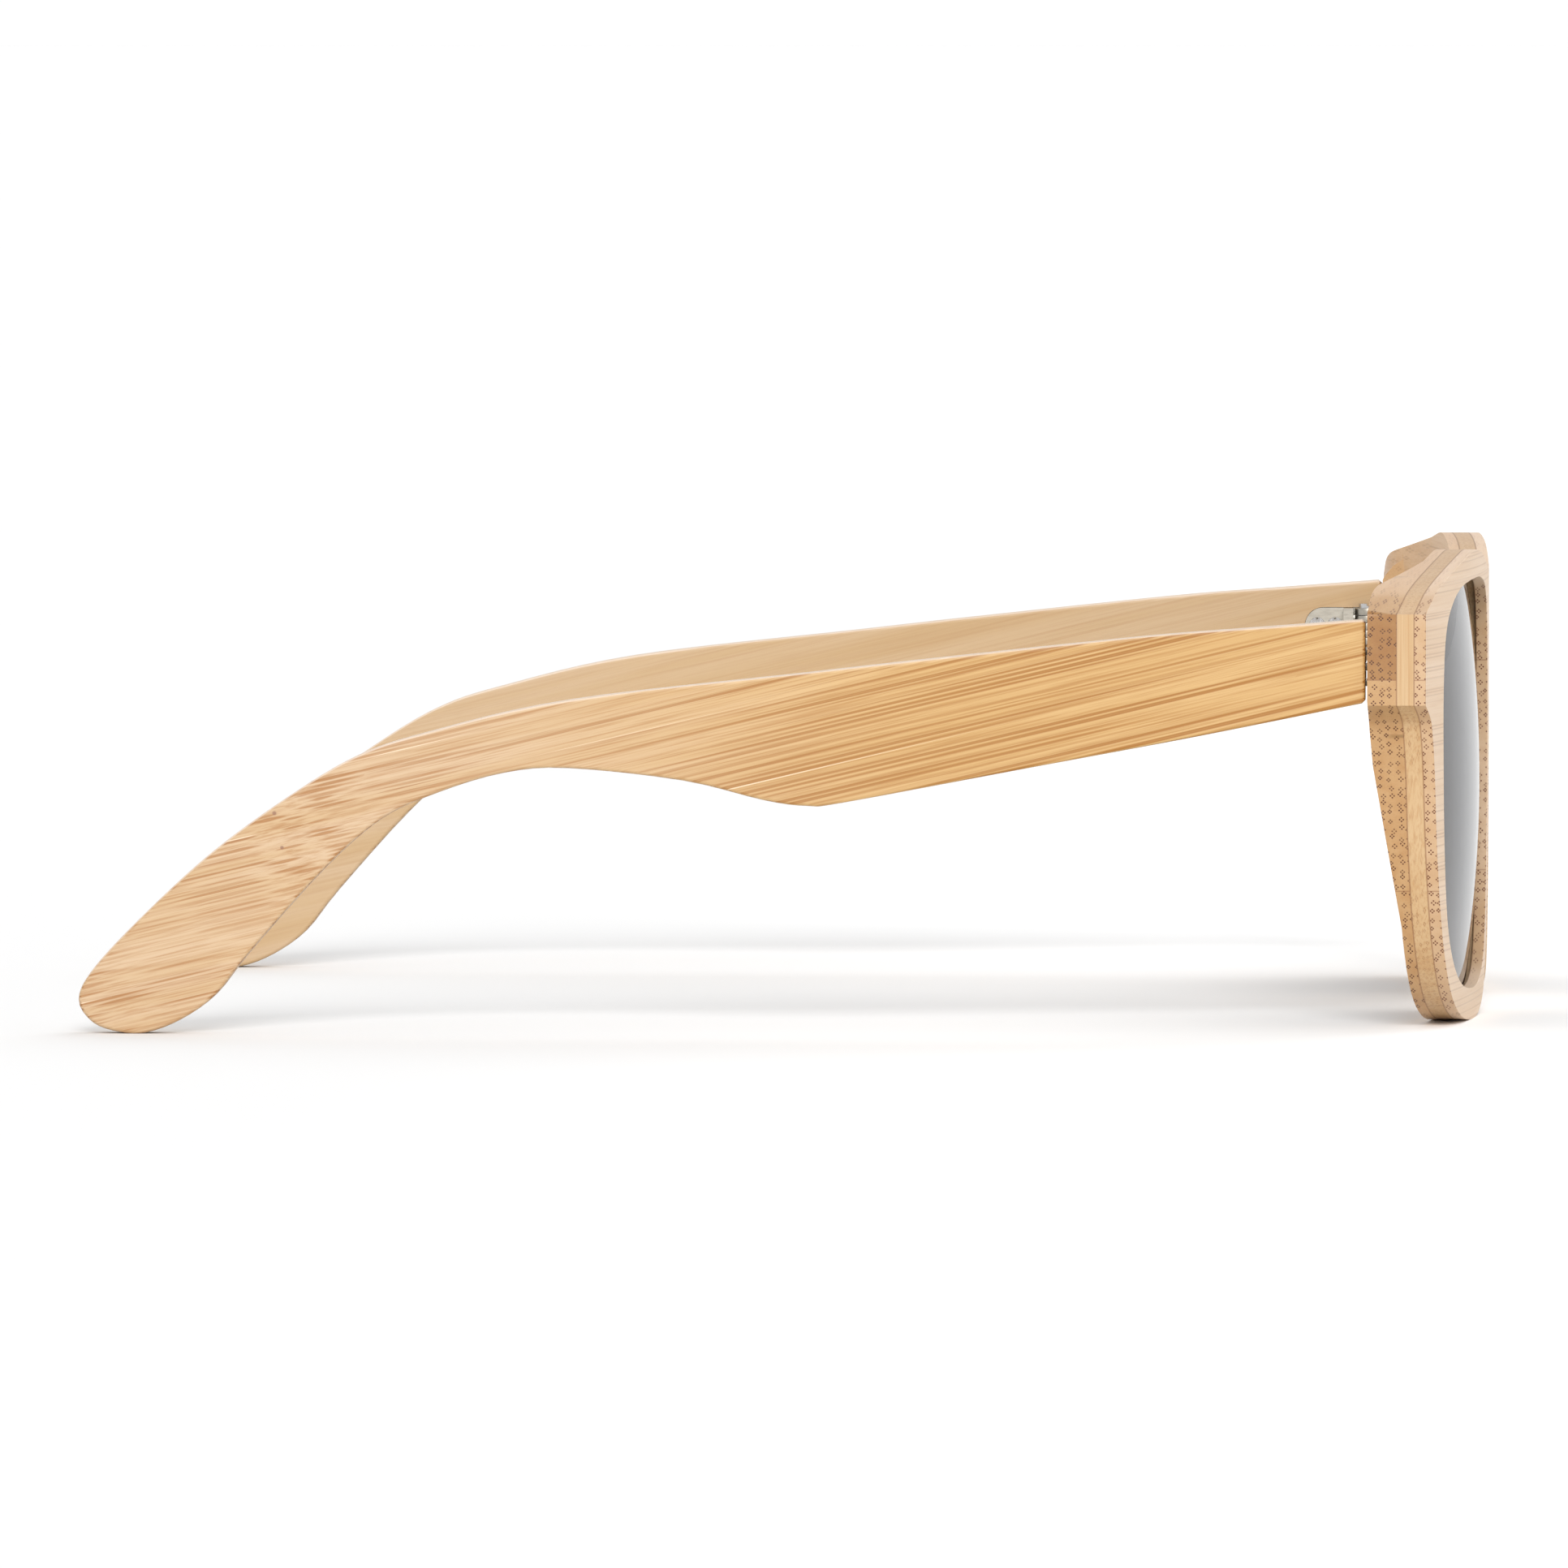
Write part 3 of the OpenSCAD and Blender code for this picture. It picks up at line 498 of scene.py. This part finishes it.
def temple_wood():
    """Bamboo board cut a little aslant, so that its bundles show as long slanting streaks.
    Behind the neck the cut is steeper and a growth ring crosses it, so the streaks are short."""
    material, tree, shader = start_material("bamboo_temple")
    given = coordinates(tree)
    slant, tilt = math.radians(TEMPLE_SLANT), math.radians(TEMPLE_TILT)
    along_way = Vector((math.sin(tilt), -math.cos(slant) * math.cos(tilt),
                        math.sin(slant) * math.cos(tilt)))
    up_way = Vector((0.0, math.sin(slant), math.cos(slant)))
    along, up, through = (dot(tree, given["Object"], way * MM_PER_METRE)
                          for way in (along_way, up_way, along_way.cross(up_way)))

    # Behind the neck the grain dives, and at the growth ring it bulges.
    past = calc(tree, "MAXIMUM", minus(tree, DIVE_START, along), 0.0)
    dive = times(tree, past, past, DIVE_BEND)
    ripple = noise(tree, vec(tree, up, through), RING_WAVES)
    away = plus(tree, along, times(tree, up, RING_LEAN),
                plus(tree, times(tree, ripple, RING_RIPPLE), RING_BACK))
    swell = calc(tree, "EXPONENT", times(tree, away, away, -RING_NARROW))
    grain = vec(tree, along, up, plus(tree, through, dive, times(tree, swell, RING_LIFT)))

    # Regions of the board.
    x, y, z = in_mm(tree, given["Object"])
    outside = ramp(tree, unsigned(tree, x), *OUTER_FACE)
    inside = times(tree, minus(tree, 1.0, outside), INNER_ROSY)
    rosy = calc(tree, "MAXIMUM", ramp(tree, along, *ROSY_FROM_TO), inside)
    streaked = ramp(tree, along, *STREAKED_FROM_TO)
    calm = times(tree, ramp(tree, along, *CALM_FROM_TO), ramp(tree, along, *CALM_END))
    across = ramp(tree, unsigned(tree, dot(tree, given["Normal"], along_way)), *TEMPLE_ACROSS)
    painted_highlight_mask = ramp(tree, parts(tree, given["Normal"])[2], *TEMPLE_HIGHLIGHT_TURN)
    on_right = calc(tree, "LESS_THAN", x, 0.0)

    face_streaks = plus(tree, INNER_STREAKS, times(tree, outside, OUTER_STREAKS))
    place_streaks = plus(tree, minus(tree, 1.0, times(tree, calm, CALM_LOSS)),
                         times(tree, streaked, FRONT_GAIN))
    wood = placed(tree, BAMBOO, {
        "Grain": grain, "Spacing": 0.46, "Bundle": 0.215, "Ring": 0.1, "Dot": 0.08,
        "Streaks": times(tree, face_streaks, place_streaks),
        "Dots": calc(tree, "MAXIMUM", times(tree, outside, OUTER_DOTS), across),
        "Fine": plus(tree, INNER_FINE, times(tree, outside, OUTER_FINE)),
        "Drift": 0.35, "Vary": 0.85, "Pale": mix(tree, rosy, *TEMPLE_PALE),
        "Warm": mix(tree, rosy, *TEMPLE_WARM), "Fibre": mix(tree, rosy, *TEMPLE_FIBRE),
        "Dark": rgb(132, 82, 40)})
    hairs = placed(tree, HAIRS, {"Grain": grain})

    dimmed = mix(tree, 1.0, wood["Color"], INNER_TINT, "MULTIPLY")
    color = mix(tree, outside, dimmed, wood["Color"])
    color = mix(tree, times(tree, hairs["Dark"], outside, TEMPLE_HAIRS), color, DARK_HAIR)
    color = mix(tree, times(tree, hairs["Light"], outside, TEMPLE_HAIRS), color, LIGHT_HAIR)
    # Painted highlight: upward faces of the board are mixed towards a pale colour, as if lit from
    # above.
    color = mix(tree, times(tree, painted_highlight_mask, TOP_HIGHLIGHT_SHARE), color, PAINTED_TOP_HIGHLIGHT)
    for back, height, size in KNOTS:
        distance = reach(tree, minus(tree, y, back), minus(tree, z, height))
        knot = times(tree, fade(tree, distance, KNOT_CORE * size, size), on_right)
        color = mix(tree, times(tree, knot, outside, KNOT_SHARE), color, KNOT_BROWN)
    finish_wood(tree, shader, color, wood)
    return material


# Turns between which a face of a nose pad counts as its end, and the dots there.
PAD_ACROSS, PAD_DOTS = (0.45, 0.9), 0.6


def pad_wood():
    """Upright bamboo of the nose pads, with dots on their ends."""
    material, tree, shader = start_material("bamboo_nose_pad")
    given = coordinates(tree)
    x, y, z = in_mm(tree, given["Object"])
    across = ramp(tree, unsigned(tree, parts(tree, given["Normal"])[2]), *PAD_ACROSS)
    wood = placed(tree, BAMBOO, {
        "Grain": vec(tree, z, x, y), "Spacing": 0.8, "Bundle": 0.24, "Streaks": 0.5,
        "Dots": times(tree, across, PAD_DOTS),
        "Pale": rgb(232, 198, 150), "Warm": rgb(220, 178, 124)})
    finish_wood(tree, shader, wood["Color"], wood)
    return material


def smoke_lens():
    material, tree, shader = start_material("smoke_lens")
    fill(tree, shader, {"Base Color": (0.085, 0.085, 0.095, 1.0), "Transmission Weight": 0.9,
                        "IOR": 1.185, "Roughness": 0.03})
    return material


# Steel: waves of its clouds per metre, the noise they show between, and how dull they are.
CLOUD_WAVES, CLOUD_RANGE, CLOUD_TONE = 900.0, (0.35, 0.7), 0.92
# Noise between which the tool lines grow, and roughness they take away and add.
GRIND_RANGE, GRIND_LESS, GRIND_MORE = (0.3, 0.7), 0.07, 0.1


def steel(name, color, lines, rough):
    """Satin steel with fine tool lines along one direction."""
    material, tree, shader = start_material(name)
    spot = coordinates(tree)["Object"]
    stretched = add(tree, "ShaderNodeMapping", {"Vector": spot, "Scale": lines}).outputs[0]
    grind = noise(tree, stretched, detail=3.0, roughness=0.6)
    clouds = ramp(tree, noise(tree, spot, CLOUD_WAVES), *CLOUD_RANGE)
    duller = (*(part * CLOUD_TONE for part in color[:3]), 1.0)
    fill(tree, shader, {
        "Base Color": mix(tree, clouds, color, duller), "Metallic": 1.0,
        "Roughness": ramp(tree, grind, *GRIND_RANGE, rough - GRIND_LESS, rough + GRIND_MORE),
        "Normal": bumped(tree, grind, STEEL_BUMP, STEEL_BUMP_DEPTH)})
    return material


temple_bamboo = temple_wood()
pad_bamboo = pad_wood()
lens_grey = smoke_lens()
hinge_metal = steel("hinge_steel", rgb(174, 169, 158), lines=(900.0, 900.0, 9000.0), rough=0.38)
screw_metal = steel("screw_steel", rgb(196, 196, 196), lines=(6000.0, 6000.0, 900.0), rough=0.24)


# Pieces: copies of the solids with eased edges

# Sizes in metres: gaps that are merged, how far edges are eased, and the shortest eased edge.
MERGE_GAP = 2e-6
FRONT_EASE, BACK_EASE, PAD_EASE, LEAF_EASE = 0.00035, 0.0003, 0.0004, 0.00006
SHORTEST_EASED = 0.0002
# Degrees up to which faces are joined as flat, and past which an edge is sharp.
FLAT_ANGLE, SHARP_ANGLE, TEMPLE_SHARP_ANGLE = 0.2, 35.0, 50.0
# Millimetres within which an edge lies on the front face, and past the glue on the rear rim.
FACE_BAND, RIM_BAND = 0.03, 0.5
# Faces of a lens that agree this well with a ball get the ball's normals.
BALL_AGREEMENT = 0.95


def put_in_scene(name, data):
    thing = bpy.data.objects.new(name, data)
    scene.collection.objects.link(thing)
    return thing


def depth_of(co):
    """Millimetres in front of (+) or behind (-) the front face of the bend."""
    return math.hypot(co.x * MM_PER_METRE, WRAP_AXIS_Y - co.y * MM_PER_METRE) - WRAP_RADIUS


def on_front_face(edge):
    return all(depth_of(v.co) > -FACE_BAND for v in edge.verts)


def on_rear_rim(edge):
    return (all(depth_of(v.co) < BACK_GLUE - RIM_BAND for v in edge.verts)
            and edge.calc_length() > SHORTEST_EASED)


def round_nose_arch(shape):
    """Rounds the top of the nose arch, which the plies' solids leave a little pointed."""
    for vert in shape.verts:
        aside, up = abs(vert.co.x) * MM_PER_METRE, vert.co.z * MM_PER_METRE
        if aside < ARCH_REACH and ARCH_LOW < up < ARCH_HIGH:
            rise = ARCH_RISE * math.sqrt(1.0 - (aside / ARCH_SPAN) ** 2)
            vert.co.z = (ARCH_MIDDLE + rise) / MM_PER_METRE


def eased(name, node, body, material, offset=0.0, segments=3, keep=None,
          crease=SHARP_ANGLE):
    """A merged copy of a node, its chosen sharp edges rounded, riding in the node's place."""
    shape = bmesh.new()
    shape.from_mesh(nodes[node].data)
    bmesh.ops.remove_doubles(shape, verts=shape.verts, dist=MERGE_GAP)
    bmesh.ops.dissolve_limit(shape, angle_limit=math.radians(FLAT_ANGLE),
                             verts=shape.verts, edges=shape.edges)
    if node.endswith("_ply"):
        round_nose_arch(shape)
    if offset:
        sharp = [e for e in shape.edges if len(e.link_faces) == 2
                 and e.calc_face_angle(0.0) > math.radians(crease)
                 and (keep is None or keep(e))]
        bmesh.ops.bevel(shape, geom=sharp, offset=offset, offset_type="OFFSET",
                        segments=segments, profile=0.5, affect="EDGES", clamp_overlap=True,
                        material=-1)
    for face in shape.faces:
        face.smooth = True
    mesh = bpy.data.meshes.new(name)
    shape.to_mesh(mesh)
    shape.free()
    mesh.set_sharp_from_angle(angle=math.radians(crease))
    mesh.materials.append(material)
    piece = put_in_scene(name, mesh)
    normals = piece.modifiers.new("even_faces", "WEIGHTED_NORMAL")
    normals.keep_sharp = True
    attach(piece, body)
    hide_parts(node)
    return piece


def polish(piece, side):
    """True ball normals on both surfaces of a lens, so nothing of the mesh shows in its gloss."""
    piece.modifiers.clear()
    mesh = piece.data
    x, y, z = LENS_MIDDLE
    middle = Vector((x * side, y, z)) / MM_PER_METRE
    normals = [Vector((0.0, 0.0, 1.0))] * len(mesh.loops)
    for face in mesh.polygons:
        agreement = (face.center - middle).normalized().dot(face.normal)
        for index in face.loop_indices:
            ray = (mesh.vertices[mesh.loops[index].vertex_index].co - middle).normalized()
            if agreement > BALL_AGREEMENT:
                normals[index] = ray
            elif agreement < -BALL_AGREEMENT:
                normals[index] = -ray
            else:
                normals[index] = face.normal.copy()
    mesh.normals_split_custom_set(normals)


eased("front_ply_eased", "front_ply", "front", front_wood, FRONT_EASE,
      keep=on_front_face)
eased("core_ply_eased", "core_ply", "front", core_wood)
eased("back_ply_eased", "back_ply", "front", back_wood, BACK_EASE,
      keep=on_rear_rim)
for side, sign in (("right", -1), ("left", 1)):
    eased("nose_pad_%s_eased" % side, "nose_pad_" + side, "front", pad_bamboo,
          PAD_EASE)
    lens = eased("lens_%s_clear" % side, "lens_" + side, "front", lens_grey)
    polish(lens, sign)
    eased("temple_%s_eased" % side, "temple_" + side, side + "_temple",
          temple_bamboo, crease=TEMPLE_SHARP_ANGLE)
    for leaf, body in (("front_leaf_", "front"), ("temple_leaf_", side + "_temple")):
        eased(leaf + side + "_eased", leaf + side, body, hinge_metal,
              LEAF_EASE, segments=2)

for name, node in nodes.items():
    if "screw" in name:
        node.data.materials.clear()
        node.data.materials.append(screw_metal)


# Floor, light and camera

# Half the width of the paper in metres, its tones ahead of the glasses, lighter there as painted
# light over the front's shade, and under the tips, and where one goes over into the other.
PAPER_HALF = 120.0
PAPER_PAINTED_LIGHT_AHEAD, PAPER_UNDER_TIPS = 0.98, 0.865
PAPER_FROM_TO = (-0.06, 0.045)
# Brightness of the tent at the horizon and overhead, and how high a ray rises to be overhead.
HORIZON_GLOW, OVERHEAD_GLOW, OVERHEAD_RISE = 1.02, 0.66, 0.45
# The photo's camera: its turn and rise in degrees, its distance and target in metres.
VIEW_TURN, VIEW_RISE, VIEW_DISTANCE = -87.55, 2.3, 2.1
VIEW_TARGET = (0.0, 0.00266, 0.02336)
# Its sensor and lens in millimetres, and how far it sees in metres.
VIEW_SENSOR, VIEW_LENS, VIEW_END = 36.0, 446.1, 50.0


def white_paper():
    material, tree, shader = start_material("white_paper")
    # Painted light: a little whiter ahead of the glasses, to lift the shade that the front casts
    # there.
    to_tips = ramp(tree, parts(tree, coordinates(tree)["Object"])[1], *PAPER_FROM_TO)
    tone = mix(tree, to_tips, grey(PAPER_PAINTED_LIGHT_AHEAD), grey(PAPER_UNDER_TIPS))
    fill(tree, shader, {"Base Color": tone, "Roughness": 0.9, "Specular IOR Level": 0.05})
    return material


def paper_floor():
    """A sheet of white paper that reaches past the horizon of the photo's low view, with painted
    light ahead of the glasses.
    """
    shape = bmesh.new()
    bmesh.ops.create_grid(shape, x_segments=2, y_segments=2, size=PAPER_HALF)
    mesh = bpy.data.meshes.new("paper_floor")
    shape.to_mesh(mesh)
    shape.free()
    mesh.materials.append(white_paper())
    sheet = put_in_scene("paper_floor", mesh)


def aim(thing, way):
    thing.rotation_euler = Vector(way).to_track_quat("-Z", "Y").to_euler()


def tent_light(name, travel, energy, spread):
    light = bpy.data.lights.new(name, "SUN")
    light.energy = energy
    light.angle = math.radians(spread)
    aim(put_in_scene(name, light), travel)


def tent_sky():
    """The tent is as bright as the paper at the horizon, and dimmer overhead."""
    world = bpy.data.worlds.new("studio")
    scene.world = world
    world.use_nodes = True
    tree = world.node_tree
    rise_of_ray = parts(tree, coordinates(tree)["Generated"])[2]
    glow = ramp(tree, rise_of_ray, 0.0, OVERHEAD_RISE, HORIZON_GLOW, OVERHEAD_GLOW)
    fill(tree, tree.nodes["Background"], {"Color": grey(1.0), "Strength": glow})


def photo_camera():
    view = bpy.data.cameras.new("photo_view")
    view.sensor_width = VIEW_SENSOR
    view.lens = VIEW_LENS
    view.clip_end = VIEW_END
    turn, rise = math.radians(VIEW_TURN), math.radians(VIEW_RISE)
    back = Vector((math.sin(turn) * math.cos(rise), -math.cos(turn) * math.cos(rise),
                   math.sin(rise)))
    eye = put_in_scene("photo_view", view)
    eye.location = Vector(VIEW_TARGET) + back * VIEW_DISTANCE
    aim(eye, -back)
    scene.camera = eye


paper_floor()
# A soft key from the near side, two level fills that hardly touch the floor, and one from
# above the far side.
tent_light("key_side", travel=(0.88, 0.07, -0.42), energy=2.2, spread=22)
tent_light("fill_front", travel=(0.15, 1.0, -0.08), energy=0.2, spread=80)
tent_light("fill_back", travel=(-0.5, -0.87, -0.08), energy=0.45, spread=80)
tent_light("fill_far", travel=(-0.6, 0.4, -0.6), energy=0.7, spread=40)
tent_sky()
photo_camera()
scene.view_settings.view_transform = "Standard"

bpy.context.view_layer.update()
